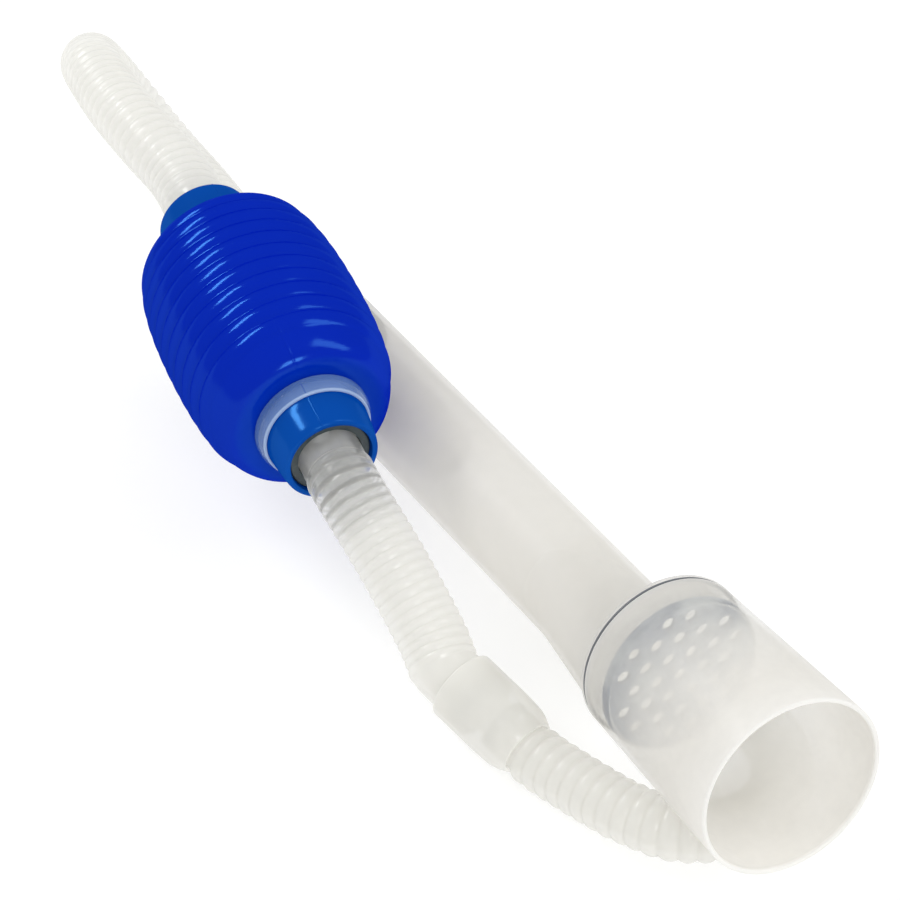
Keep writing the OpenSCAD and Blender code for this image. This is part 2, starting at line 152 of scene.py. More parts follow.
class Graph:
    """A node tree, with one way to add any node."""

    def __init__(self, tree: Any) -> None:
        """Wrap an empty or fresh node tree."""
        self.tree = tree

    def put(self, socket: Any, value: Any) -> None:
        """Link or set a socket.

        Args:
            socket: an input socket.
            value: a Value, an output socket, or a plain value.
        """
        if isinstance(value, Value):
            self.tree.links.new(value.socket, socket)
        elif isinstance(value, bpy.types.NodeSocket):
            self.tree.links.new(value, socket)
        else:
            socket.default_value = value

    def node(self, kind: str, inputs: dict | None = None, **settings: Any) -> Any:
        """Add a node.

        Args:
            kind: the node's type name.
            inputs: values or links by input name or number.
            settings: the node's own settings, set first.

        Returns:
            The new node.
        """
        made = self.tree.nodes.new(kind)
        for key, value in settings.items():
            setattr(made, key, value)
        return self.fill(made, inputs or {})

    def fill(self, node: Any, inputs: dict) -> Any:
        """Link or set a node's inputs by name or number, and hand it back."""
        for key, value in inputs.items():
            self.put(node.inputs[key], value)
        return node

    def maths(self, operation: str, *terms: Any) -> Value:
        """Add a Math node on one or two terms."""
        made = self.node("ShaderNodeMath", dict(enumerate(terms)), operation=operation)
        return Value(self, made.outputs[0])

    def mix(self, share: Any, first: Any, second: Any) -> Any:
        """Mix two colours.

        Args:
            share: how much of the second there is.
            first: a colour or a colour socket.
            second: a colour or a colour socket.

        Returns:
            The colour output socket.
        """
        terms = {0: share, 6: first, 7: second}
        return self.node("ShaderNodeMix", terms, data_type="RGBA").outputs[2]

    def blend(self, share: Any, first: Any, second: Any) -> Any:
        """Mix two shader sockets; share is how much of the second there is."""
        made = self.node("ShaderNodeMixShader", {0: share, 1: first, 2: second})
        return made.outputs["Shader"]

    def noise(self, where: Any, scale: float, detail: float = 2.0, rough: float = 0.5) -> Value:
        """Noise from 0 to 1 at the given coordinates."""
        terms = {"Vector": where, "Scale": scale, "Detail": detail, "Roughness": rough}
        return Value(self, self.node("ShaderNodeTexNoise", terms).outputs[0])

    def attribute(self, name: str) -> Value:
        """A number stored on the piece's own points."""
        made = self.node("ShaderNodeAttribute", attribute_name=name)
        return Value(self, made.outputs["Fac"])


Colour = tuple[float, float, float, float]


def rgb(r: float, g: float, b: float) -> Colour:
    """A colour in linear light."""
    return (r, g, b, 1.0)


# finishes
@dataclass(frozen=True)
class Finish:
    """A surface finish, with what all of them share."""

    name: str
    colour: Colour
    roughness: float = 0.35

    def material(self) -> bpy.types.Material:
        """Make the material, or find it if it is made already.

        Returns:
            The Blender material.
        """
        found = bpy.data.materials.get(self.name)
        if found:
            return found
        made = bpy.data.materials.new(self.name)
        made.use_nodes = True
        made.node_tree.nodes.clear()
        graph = Graph(made.node_tree)
        shader = graph.node("ShaderNodeBsdfPrincipled")
        out = graph.node("ShaderNodeOutputMaterial")
        where = graph.node("ShaderNodeTexCoord").outputs["Object"]
        self.paint(graph, shader, where)
        graph.put(out.inputs["Surface"], self.skin(graph, shader, where))
        made.diffuse_color = self.colour
        return made

    def skin(self, graph: Graph, shader: Any, where: Any) -> Any:
        """The finished surface's shader socket."""
        return shader.outputs["BSDF"]

    def paint(self, graph: Graph, shader: Any, where: Any) -> None:
        """Set the shader's sockets; each finish has its own way."""
        raise NotImplementedError

    def bump(self, graph: Graph, shader: Any, height: Value, strength: float) -> None:
        """Feed a height into the shader's normal."""
        terms = {"Height": height, "Distance": BUMP_DEPTH, "Strength": strength}
        made = graph.node("ShaderNodeBump", terms)
        graph.put(shader.inputs["Normal"], made.outputs["Normal"])


@dataclass(frozen=True)
class MilkyVinyl(Finish):
    """Cloudy see-through plastic of the tubes and hoses."""

    shade: Colour = rgb(0.7, 0.69, 0.64)
    opacity: float = 0.7
    glow: float = 0.5
    gloss: float = 0.25
    cloud: float = 0.12
    ribbed: bool = False
    cloud_scale: float = 38.0

    def paint(self, graph: Graph, shader: Any, where: Any) -> None:
        """Clouded base colour and a soft gloss, with painted shade in hose grooves, a painted
        grey shade and painted dark lines at a clear hose start, and painted highlights on marked
        rims.
        """
        cloud = graph.noise(where, self.cloud_scale, 3.0)
        fine = graph.noise(where, 900.0, 2.0)
        streak = graph.noise(where, 260.0, 1.0)
        tone = (cloud - 0.5) * 1.6 * self.cloud + (streak - 0.5) * 0.06 + 0.1
        if self.ribbed:
            clear = graph.attribute("clear")
            # Painted shade: the grooves between ribs are darkened, more so at the clear start.
            tone = tone + (1 - graph.attribute("crest")) * (clear * 2.0 + 0.5)
        base = graph.mix(tone.clamp(), self.colour, self.shade)
        if self.ribbed:
            # Painted shade: the clear start is greyed to stand for the dark neck inside, and
            # painted dark lines in its grooves stand for the dark seal mirrored there; its
            # clearness is real.
            base = graph.mix(clear * 0.6, base, rgb(0.55, 0.58, 0.59))
            base = graph.mix(self.lines(graph), base, rgb(0.015, 0.02, 0.025))
        # Painted highlight: marked rims are whitened to show the light they catch.
        edge = graph.attribute("edge").clamp()
        base = graph.mix(edge, base, rgb(0.97, 0.97, 0.96))
        rough = self.roughness + (cloud - 0.5) * 0.12
        graph.fill(shader, {"Base Color": base, "Roughness": rough, "IOR": 1.48})
        graph.fill(shader, {"Coat Weight": self.gloss, "Coat Roughness": 0.12})
        self.bump(graph, shader, fine * 0.4 + cloud, 0.12)

    def lines(self, graph: Graph) -> Value:
        """The dark lines in the grooves where a hose is clear: a painted reflection of the dark
        seal.
        """
        return graph.attribute("clear") * (1 - graph.attribute("crest")).step(0.1, 0.45)

    def skin(self, graph: Graph, shader: Any, where: Any) -> Any:
        """Let light through the wall, and show some of what is behind it.

        Args:
            graph: the material's nodes.
            shader: the painted shader.
            where: Object coordinates.

        Returns:
            The finished shader socket.
        """
        through = graph.node("ShaderNodeBsdfTranslucent", {"Color": self.colour})
        lit = graph.blend(self.glow, shader.outputs["BSDF"], through.outputs["BSDF"])
        haze = self.opacity + (graph.noise(where, self.cloud_scale, 3.0) - 0.5) * 0.14
        # The painted rim highlight is also made more opaque.
        haze = haze + graph.attribute("edge") * 0.4
        bare = graph.attribute("clear")
        if self.ribbed:
            # The painted dark groove lines are made more opaque too.
            haze = haze + self.lines(graph) * 0.6
        haze = haze - bare * (0.22 + graph.noise(where, 110.0, 3.0) * 0.26)
        clear = graph.node("ShaderNodeBsdfTransparent")
        return graph.blend(haze.clamp(), clear.outputs["BSDF"], lit)


@dataclass(frozen=True)
class BlueVinyl(Finish):
    """Deep blue blow-moulded plastic of the bulb, paler where it is thin at the necks."""

    pale: Colour = rgb(0.0, 0.055, 0.34)
    gleam: Colour = rgb(0.12, 0.45, 0.95)
    gloss: float = 0.046
    scuff_scale: float = 420.0

    def paint(self, graph: Graph, shader: Any, where: Any) -> None:
        """Rich blue with pale necks, light scuffs and a glossy skin."""
        mottle = graph.noise(where, 55.0, 4.0, 0.6)
        scuff = graph.noise(where, self.scuff_scale, 3.0, 0.7)
        grain = graph.noise(where, 1500.0, 2.0)
        thin = graph.attribute("thin")
        base = graph.mix(thin.clamp(), self.colour, self.pale)
        worn = ((scuff - 0.62) * 3.0).clamp() * 0.10 + (mottle - 0.5) * 0.12
        base = graph.mix(worn.clamp(), base, rgb(0.01, 0.05, 0.55))
        rough = self.roughness + (scuff - 0.5) * 0.14
        graph.fill(shader, {"Base Color": base, "Roughness": rough, "Specular IOR Level": 0.0})
        self.bump(graph, shader, scuff * 0.6 + grain * 0.4, 0.18)

    def skin(self, graph: Graph, shader: Any, where: Any) -> Any:
        """Lay a thin bluish gloss over the painted body."""
        scuff = graph.noise(where, self.scuff_scale, 3.0, 0.7)
        rough = self.roughness + (scuff - 0.5) * 0.12
        normal = shader.inputs["Normal"].links[0].from_socket
        terms = {"Color": self.gleam, "Roughness": rough, "Normal": normal}
        shine = graph.node("ShaderNodeBsdfGlossy", terms)
        return graph.blend(self.gloss, shader.outputs["BSDF"], shine.outputs["BSDF"])


@dataclass(frozen=True)
class ClearVinyl(Finish):
    """Clear plastic with a tint, for the collars."""

    opacity: float = 0.5

    def paint(self, graph: Graph, shader: Any, where: Any) -> None:
        """Tinted, see-through and glossy, with a painted highlight along the front rim."""
        cloud = graph.noise(where, 120.0, 3.0)
        # Painted highlight: the front rim is whitened and made more opaque to show the light it
        # catches.
        edge = graph.attribute("edge").clamp()
        tint = graph.mix(cloud * 0.5, self.colour, rgb(0.3, 0.46, 0.8))
        base = graph.mix(edge, tint, rgb(0.6, 0.75, 0.95))
        rough = self.roughness + (cloud - 0.5) * 0.1
        alpha = (self.opacity + (cloud - 0.5) * 0.12 + edge * 0.35).clamp()
        graph.fill(shader, {"Base Color": base, "Roughness": rough, "Alpha": alpha})
        graph.fill(shader, {"Coat Weight": 0.4, "Coat Roughness": 0.08})
        self.bump(graph, shader, cloud, 0.1)


@dataclass(frozen=True)
class SoftRubber(Finish):
    """Dark rubber of the seals, the gasket and the valve discs."""

    def paint(self, graph: Graph, shader: Any, where: Any) -> None:
        """Dark, a little dusty, with a fine grain."""
        dust = graph.noise(where, 160.0, 4.0, 0.65)
        grain = graph.noise(where, 1400.0, 2.0)
        base = graph.mix(((dust - 0.5) * 1.2).clamp(), self.colour, rgb(0.16, 0.18, 0.18))
        rough = self.roughness + (dust - 0.5) * 0.2
        graph.fill(shader, {"Base Color": base, "Roughness": rough})
        self.bump(graph, shader, grain, 0.3)


@dataclass(frozen=True)
class MouldedPlastic(Finish):
    """Plain moulded plastic of the strainer and the valve seats and pins."""

    bloom: float = 0.0

    def paint(self, graph: Graph, shader: Any, where: Any) -> None:
        """Even colour with a faint mould texture, and a pale bloom in patches if it has one."""
        flow = graph.noise(where, 90.0, 3.0)
        grain = graph.noise(where, 1100.0, 2.0)
        darker = tuple(0.8 * c for c in self.colour[:3]) + (1.0,)
        base = graph.mix(flow * 0.6, self.colour, darker)
        if self.bloom:
            patches = (graph.noise(where, 75.0, 3.0) - 0.45) * 4.0
            base = graph.mix(patches.clamp() * self.bloom, base, rgb(0.5, 0.54, 0.56))
        rough = self.roughness + (flow - 0.5) * 0.15
        graph.fill(shader, {"Base Color": base, "Roughness": rough})
        self.bump(graph, shader, grain, 0.2)


class Surface(Enum):
    """The finishes of the siphon's pieces."""

    TUBE = MilkyVinyl(
        "tube_finish", rgb(0.905, 0.89, 0.855), 0.5, rgb(0.81, 0.785, 0.725), 0.52, gloss=0.06
    )
    HOSE = MilkyVinyl(
        "hose_finish", rgb(0.965, 0.96, 0.935), 0.18, rgb(0.79, 0.77, 0.72), 0.68,
        glow=0.62, gloss=0.9, ribbed=True,
    )
    CUFF = MilkyVinyl(
        "cuff_finish", rgb(0.965, 0.96, 0.935), 0.18, rgb(0.87, 0.85, 0.8), 0.7,
        glow=0.62, gloss=0.7,
    )
    BULB = BlueVinyl("bulb_finish", rgb(0.0, 0.01, 0.39), 0.13)
    COLLAR = ClearVinyl("collar_finish", rgb(0.13, 0.27, 0.64), 0.15, 0.45)
    SEAL = SoftRubber("seal_finish", rgb(0.03, 0.045, 0.05), 0.4)
    GASKET = SoftRubber("gasket_finish", rgb(0.13, 0.14, 0.155), 0.5)
    FLAP = SoftRubber("flap_finish", rgb(0.02, 0.02, 0.022), 0.5)
    STRAINER = MouldedPlastic("strainer_finish", rgb(0.03, 0.075, 0.16), 0.4, bloom=0.8)
    VALVE = MouldedPlastic("valve_finish", rgb(0.7, 0.72, 0.72), 0.4)

    def dress(self, piece: Piece) -> Piece:
        """Give a piece this finish in all its slots."""
        made = self.value.material()
        piece.data.materials.clear()
        piece.data.materials.append(made)
        return piece


# mesh helpers
def piece_of(name: str, points: Array, faces: Sequence[Sequence[int]]) -> Piece:
    """Make a smooth-shaded mesh object.

    Args:
        name: the piece's name.
        points: its points, in metres.
        faces: point numbers of each face, turning so that normals point outwards.

    Returns:
        The new object, linked to the scene.
    """
    mesh = bpy.data.meshes.new(name)
    mesh.from_pydata([tuple(p) for p in points], [], [tuple(f) for f in faces])
    mesh.polygons.foreach_set("use_smooth", [True] * len(mesh.polygons))
    mesh.update()
    made = bpy.data.objects.new(name, mesh)
    bpy.context.scene.collection.objects.link(made)
    return made


def store(piece: Piece, name: str, values: Array, kind: str = "FLOAT") -> None:
    """Store numbers or vectors on a mesh's points."""
    made = piece.data.attributes.new(name, kind, "POINT")
    key = "vector" if kind == "FLOAT_VECTOR" else "value"
    made.data.foreach_set(key, np.asarray(values, np.float32).ravel())


@dataclass
class Axis:
    """A straight axis with a start point, on which round pieces are turned."""

    start: Array
    along: Array

    def __post_init__(self) -> None:
        """Work out two directions square to the axis."""
        self.along = unit(self.along)
        helper = vec(0, 0, 1) if abs(self.along[2]) < 0.9 else vec(1, 0, 0)
        self.side = unit(np.cross(self.along, helper))
        self.up = np.cross(self.side, self.along)

    def at(self, u: float) -> Array:
        """The point u metres along the axis."""
        return self.start + u * self.along

    def places(self, piece: Piece) -> Array:
        """How far along the axis a piece's points lie, in millimetres."""
        points = np.array([v.co for v in piece.data.vertices])
        return (points - self.start) @ self.along / MM

    def flipped(self, u: float) -> "Axis":
        """The same axis, starting u along it and running back."""
        return Axis(self.at(u), -self.along)

    def turn(
        self,
        name: str,
        outline: Outline,
        angles: Array | None = None,
        lift: Callable[[Array, Array], Array] | None = None,
    ) -> Piece:
        """Turn a closed outline round the axis.

        Args:
            name: the piece's name.
            outline: (radius, place along the axis) in metres, as a closed ring of corners
                that runs forward along the axis on the outside.
            angles: the angles of the turned copies, or None for an even set.
            lift: an extra radius for arrays of angles and places, or None.

        Returns:
            The new piece.
        """
        angles = around(96) if angles is None else angles
        ring = np.array(outline, float)
        n, m = len(ring), len(angles)
        points = []
        for a in angles:
            spoke = math.cos(a) * self.up + math.sin(a) * self.side
            r = ring[:, 0] if lift is None else ring[:, 0] + lift(np.full(n, a), ring[:, 1])
            points.append(self.start + r[:, None] * spoke + ring[:, 1][:, None] * self.along)
        faces = []
        for j in range(m):
            k = (j + 1) % m
            for i in range(n):
                h = (i + 1) % n
                faces.append((j * n + i, k * n + i, k * n + h, j * n + h))
        return piece_of(name, np.concatenate(points), faces)


def rounded(outline: Outline, radii: Sequence[float], steps: int = 5) -> Outline:
    """Round the corners of a closed outline.

    Args:
        outline: its corners, in millimetres.
        radii: how far each corner is cut back along its sides, 0 for a sharp one.
        steps: points on each round.

    Returns:
        The outline with rounds, in metres.
    """
    out: Outline = []
    ring = [np.array(p, float) * MM for p in outline]
    for i, p in enumerate(ring):
        before, after = ring[i - 1], ring[(i + 1) % len(ring)]
        most = 0.49 * min(np.linalg.norm(before - p), np.linalg.norm(after - p))
        cut = min(radii[i] * MM, most)
        if cut <= 0:
            out.append(tuple(p))
            continue
        a, b = p + cut * unit(before - p), p + cut * unit(after - p)
        for k in range(steps + 1):
            t = k / steps
            out.append(tuple((1 - t) ** 2 * a + 2 * t * (1 - t) * p + t * t * b))
    return out


# layout
@dataclass
class Layout:
    """Where the straight pieces lie, from the same sizes as the solids."""

    mouth_r: float = 27.0
    barrel_r: float = 24.8
    barrel_len: float = 64.0
    riser_r: float = 15.7
    riser_off: float = 6.8
    riser_len: float = 200.0
    seam_gap: float = 1.0
    outlet_r: float = 8.7
    outlet_z: float = 8.8
    bulb_r: float = 29.8
    bulb_len: float = 114.0
    rib_h: float = 0.8
    prop: float = 27.0
    free_gap: float = 0.3
    mouth_xy: tuple[float, float] = (20.85, -142.86)
    bulb_aim: tuple[float, float] = (7.4, 3.0)
    bulb_lean: float = math.radians(40.8)
    bulb_gap: float = 2.0
    bulb_back: float = 33.6
    cuff_aim: tuple[float, float] = (164.9, -13.1)
    end_yaw: float = 3.0

    def __post_init__(self) -> None:
        """Work out the lean of the tube and the place of the bulb, in millimetres."""
        self.riser_end = self.barrel_len + self.seam_gap + self.riser_len
        prop_r = self.mouth_r - (self.mouth_r - self.barrel_r) * self.prop / self.barrel_len
        top = self.outlet_z + self.outlet_r + self.free_gap
        drop = top + prop_r - self.riser_off - self.riser_r
        self.tilt = math.asin(drop / (self.riser_end - self.prop))
        sin, cos = math.sin(self.tilt), math.cos(self.tilt)
        height = self.riser_end * sin + (self.riser_off + self.riser_r) * cos
        self.mouth = vec(*self.mouth_xy, height)
        self.tube_dir = vec(0, cos, -sin)
        self.tube_down = vec(0, -sin, -cos)
        self.bulb_dir = aim(*self.bulb_aim)
        reach = self.riser_r + self.bulb_r + self.rib_h + self.bulb_gap
        beside = vec(-math.cos(self.bulb_lean), 0, math.sin(self.bulb_lean))
        self.bulb_mid = self.riser_point(self.riser_end - self.bulb_back) + reach * beside
        self.cuff_at = vec(-19.5, -39, 15.8)
        self.cuff_dir = aim(*self.cuff_aim)
        self.end_at = vec(38.6, -30, self.outlet_z)
        self.end_dir = aim(self.end_yaw, 0.0)

    def riser_point(self, s: float) -> Array:
        """A point on the riser tube's axis, s millimetres from the mouth."""
        return self.mouth + s * self.tube_dir + self.riser_off * self.tube_down

    def bulb_point(self, u: float) -> Array:
        """A point on the bulb's axis, u millimetres from its near lip."""
        return self.bulb_mid + (u - self.bulb_len / 2) * self.bulb_dir

    def bulb_axis(self) -> Axis:
        """The bulb's axis in metres, from its near lip."""
        return Axis(self.bulb_point(0) * MM, self.bulb_dir)

    def tube_axis(self) -> Axis:
        """The barrel's axis in metres, from its mouth."""
        return Axis(self.mouth * MM, self.tube_dir)


LAYOUT = Layout()


@dataclass
class Route:
    """A hose's centre line: a smooth curve through given points."""

    points: Sequence[Array]
    steps: int = 24
    reach: float = 0.0012

    def __post_init__(self) -> None:
        """Work out the curve and the length run along it, in metres."""
        p = [np.asarray(q, float) * MM for q in self.points]
        p = [2 * p[0] - p[1], *p, 2 * p[-1] - p[-2]]
        line = []
        for i in range(1, len(p) - 2):
            a, b, c, d = p[i - 1 : i + 3]
            for k in range(self.steps):
                t = k / self.steps
                bend = (2 * a - 5 * b + 4 * c - d) * t**2 + (3 * b - a - 3 * c + d) * t**3
                line.append(0.5 * (2 * b + (c - a) * t + bend))
        line.append(p[-2])
        self.line = np.array(line)
        gaps = np.linalg.norm(np.diff(self.line, axis=0), axis=1)
        self.run = np.concatenate([[0.0], np.cumsum(gaps)])
        self.length = float(self.run[-1])

    def at(self, s: Array) -> Array:
        """Points at the lengths s along the curve."""
        return np.stack([np.interp(s, self.run, self.line[:, a]) for a in range(3)], axis=-1)

    def heading(self, s: Array) -> Array:
        """Directions of the curve at the lengths s."""
        ahead = self.at(np.minimum(s + self.reach, self.length))
        lead = ahead - self.at(np.maximum(s - self.reach, 0))
        return lead / np.linalg.norm(lead, axis=-1, keepdims=True)


def inlet_route() -> Route:
    """From inside the riser tube, in a tight loop, to the far neck."""
    riser, bulb = LAYOUT.riser_point, LAYOUT.bulb_point
    end, lip = LAYOUT.riser_end, LAYOUT.bulb_len
    y = riser(end)[1]
    return Route(
        [
            riser(end - 76),
            riser(end - 38),
            riser(end),
            riser(end + 25),
            vec(22, y + 63, 10.4),
            vec(22.5, y + 93, 10.4),
            vec(21, y + 114, 12.5),
            vec(16, y + 128, 22),
            vec(9.5, y + 132.5, 33.5),
            vec(2, y + 127, 45.5),
            vec(-4, y + 111, 54),
            vec(-7.5, y + 86, 57),
            vec(-7.2, y + 63, 56.5),
            bulb(lip + 22),
            bulb(lip),
            bulb(lip - 9),
        ]
    )


def stub_points() -> list[Array]:
    """From the near neck down into the joining cuff."""
    cuff, way = LAYOUT.cuff_at, LAYOUT.cuff_dir
    return [
        *[LAYOUT.bulb_point(u) for u in (9, 0, -14)],
        vec(-22.4, -3, 35.5),
        vec(-20.6, -23, 23),
        *[cuff + u * way for u in (-6, 0, 10)],
    ]


def outlet_points() -> list[Array]:
    """From the joining cuff, under the barrel and back beside the riser tube."""
    z, cuff, way = LAYOUT.outlet_z, LAYOUT.cuff_at, LAYOUT.cuff_dir
    end, out = LAYOUT.end_at, LAYOUT.end_dir
    return [
        cuff + 17 * way,
        cuff + 27 * way,
        cuff + 35 * way + vec(0, 0, 1),
        vec(-5, -88, z),
        vec(0, -99.5, z),
        vec(8.6, -111, z),
        vec(24, -116.5, z),
        vec(39, -111, z),
        vec(48, -96, z),
        vec(47.4, -78, z),
        vec(41.6, -61, z),
        end - 16 * out,
        end,
        end + 10 * out,
    ]


# hoses
def rib_tree() -> bpy.types.NodeTree:
    """Node tree that raises rounded ribs on a swept tube.

    Returns:
        The tree, with named inputs for the sizes of the ribs.
    """
    tree = bpy.data.node_groups.new("hose_ribs", "GeometryNodeTree")
    face = tree.interface
    face.new_socket("Geometry", in_out="INPUT", socket_type="NodeSocketGeometry")
    for name in ("Rib pitch", "Rib height", "First rib", "Last rib", "Roundness"):
        face.new_socket(name, in_out="INPUT", socket_type="NodeSocketFloat")
    face.new_socket("Material", in_out="INPUT", socket_type="NodeSocketMaterial")
    face.new_socket("Geometry", in_out="OUTPUT", socket_type="NodeSocketGeometry")
    graph = Graph(tree)
    start = graph.node("NodeGroupInput").outputs

    def stored(name: str, kind: str) -> Any:
        """Output of a Named Attribute node."""
        made = graph.node("GeometryNodeInputNamedAttribute", {"Name": name}, data_type=kind)
        return made.outputs["Attribute"]

    arc = Value(graph, stored("arc", "FLOAT"))
    skin = Value(graph, stored("skin", "FLOAT"))
    first, last = Value(graph, start["First rib"]), Value(graph, start["Last rib"])
    place = ((arc - first) / Value(graph, start["Rib pitch"])).fract()
    wave = (place * math.pi).sin() ** Value(graph, start["Roundness"])
    inside = arc.over(first) * arc.under(last)
    raise_by = wave * inside * skin * Value(graph, start["Rib height"])
    terms = {"Vector": stored("spoke", "FLOAT_VECTOR"), "Scale": raise_by}
    push = graph.node("ShaderNodeVectorMath", terms, operation="SCALE").outputs["Vector"]
    terms = {"Geometry": start["Geometry"], "Offset": push}
    moved = graph.node("GeometryNodeSetPosition", terms).outputs["Geometry"]
    # crest also drives the painted shade in the hose grooves; plain stretches take PLAIN_CREST.
    crest = wave * inside + (1 - inside) * PLAIN_CREST
    terms = {"Geometry": moved, "Name": "crest", "Value": crest}
    marked = graph.node(
        "GeometryNodeStoreNamedAttribute", terms, data_type="FLOAT", domain="POINT"
    ).outputs["Geometry"]
    real = graph.node("GeometryNodeRealizeInstances", {"Geometry": marked}).outputs["Geometry"]
    terms = {"Geometry": real, "Material": start["Material"]}
    dressed = graph.node("GeometryNodeSetMaterial", terms).outputs["Geometry"]
    graph.node("NodeGroupOutput", {"Geometry": dressed})
    return tree


def grown(piece: Piece, tree: bpy.types.NodeTree, sizes: dict[str, Any]) -> None:
    """Run a node tree on a piece and keep its result as a plain mesh.

    Args:
        piece: the piece, whose mesh is replaced.
        tree: the node tree.
        sizes: values of its named inputs.
    """
    modifier = piece.modifiers.new(tree.name, "NODES")
    modifier.node_group = tree
    for item in tree.interface.items_tree:
        if item.item_type == "SOCKET" and item.in_out == "INPUT" and item.name in sizes:
            modifier[item.identifier] = sizes[item.name]
    piece.update_tag()
    view = bpy.context.evaluated_depsgraph_get()
    view.update()
    made = bpy.data.meshes.new_from_object(piece.evaluated_get(view))
    piece.modifiers.remove(modifier)
    old, piece.data = piece.data, made
    made.name = piece.name
    bpy.data.meshes.remove(old)


@dataclass
class Stretch:
    """One ribbed stretch of hose, with plain ends; sizes in millimetres."""

    route: Route
    ribs: int
    crest: float
    groove: float
    plain: float
    bore: float
    end_a: float
    end_b: float
    ref: Array
    clear_to: float = 0.0
    fade: float = 12.0
    bevel: float = 0.4
    ramp: tuple[float, float] = (1.2, 0.5)
    rib_rings: int = 8
    roundness: float = 0.8

    def clearness(self, arc: Array) -> Array:
        """How clear the hose is at lengths along it, from 1 at its start to 0; the same mark sets
        the painted grey shade and painted dark groove lines there.
        """
        if self.clear_to <= 0:
            return np.zeros(len(arc))
        return np.clip((self.clear_to * MM - arc) / (self.fade * MM) + 0.5, 0, 1)

    @property
    def pitch(self) -> float:
        """Distance between ribs, in metres."""
        return (self.route.length - (self.end_a + self.end_b) * MM) / self.ribs

    def arcs(self) -> tuple[Array, Array]:
        """Stations of the outer rings and their radii before the ribs are raised."""
        a, b = self.end_a * MM, self.route.length - self.end_b * MM
        root, plain = (self.crest - self.groove) * MM, self.plain * MM
        end, bevel = self.route.length, self.bevel * MM
        far, near = (x * MM for x in self.ramp)
        rings = np.linspace(a, b, self.ribs * self.rib_rings + 1)
        head = [0, bevel, a * 0.5, a - far, a - near]
        tail = [b + near, b + far, (b + end) / 2, end - bevel, end]
        where = np.concatenate([head, rings, tail])
        radius = np.full(len(where), root)
        radius[:4] = radius[-4:] = plain
        radius[0] = radius[-1] = plain - bevel
        radius[4] = radius[-5] = (plain + root) / 2
        return where, radius

    def tube(self, sides: int = 44) -> tuple[Array, list[tuple[int, ...]], Array, Array, Array]:
        """Points, faces, arc lengths, spokes and skin marks of the double-walled tube.

        Args:
            sides: points in a ring.

        Returns:
            Those five, ready for a mesh.
        """
        where, radius = self.arcs()
        lines = np.linspace(0, self.route.length, max(8, int(self.route.length / 0.004)))
        walls = [(where, radius, 1.0), (lines, np.full(len(lines), self.bore * MM), 0.0)]
        points, arc, spokes, skin, faces = [], [], [], [], []
        base, starts = 0, []
        turn = around(sides)
        for stations, r, mark in walls:
            t = self.route.heading(stations)
            side = np.cross(t, self.ref)
            side /= np.linalg.norm(side, axis=1, keepdims=True)
            up = np.cross(side, t)
            spoke = (
                np.cos(turn)[None, :, None] * up[:, None, :]
                + np.sin(turn)[None, :, None] * side[:, None, :]
            )
            points.append(
                (self.route.at(stations)[:, None, :] + r[:, None, None] * spoke).reshape(-1, 3)
            )
            spokes.append(spoke.reshape(-1, 3))
            arc.append(np.repeat(stations, sides))
            skin.append(np.full(len(stations) * sides, mark))
            for i in range(len(stations) - 1):
                for k in range(sides):
                    m = (k + 1) % sides
                    a, b = base + i * sides, base + (i + 1) * sides
                    quad = (a + k, a + m, b + m, b + k)
                    faces.append(quad if mark else quad[::-1])
            starts.append((base, base + (len(stations) - 1) * sides))
            base += len(stations) * sides
        (o0, o1), (i0, i1) = starts
        for k in range(sides):
            m = (k + 1) % sides
            faces.append((i0 + k, i0 + m, o0 + m, o0 + k))
            faces.append((i1 + m, i1 + k, o1 + k, o1 + m))
        points, arc, spokes, skin = map(np.concatenate, (points, arc, spokes, skin))
        return points, faces, arc, spokes, skin


@dataclass
class RibbedHose:
    """A ribbed hose of one or more stretches in one piece."""

    name: str
    stretches: list[Stretch]
    nodes: tuple[str, ...]
    tree: bpy.types.NodeTree

    def build(self) -> Piece:
        """Sweep the tubes, raise the ribs and join the stretches.

        Returns:
            The hose as one mesh piece.
        """
        made = []
        for i, stretch in enumerate(self.stretches):
            points, faces, arc, spokes, skin = stretch.tube()
            piece = piece_of(f"{self.name}_{i}", points, faces)
            store(piece, "arc", arc)
            store(piece, "spoke", spokes, "FLOAT_VECTOR")
            store(piece, "skin", skin)
            store(piece, "clear", stretch.clearness(arc))
            sizes = {
                "Rib pitch": stretch.pitch,
                "Rib height": stretch.groove * MM,
                "First rib": stretch.end_a * MM,
                "Last rib": stretch.route.length - stretch.end_b * MM,
                "Roundness": stretch.roundness,
                "Material": Surface.HOSE.value.material(),
            }
            grown(piece, self.tree, sizes)
            made.append(piece)
        whole = made[0]
        if len(made) > 1:
            with bpy.context.temp_override(
                active_object=whole, selected_editable_objects=made, selected_objects=made
            ):
                bpy.ops.object.join()
        whole.name = self.name
        whole.data.name = self.name
        whole.data.polygons.foreach_set("use_smooth", [True] * len(whole.data.polygons))
        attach(whole, "base")
        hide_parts(*self.nodes)
        LOG.info("%s: %d faces", self.name, len(whole.data.polygons))
        return whole


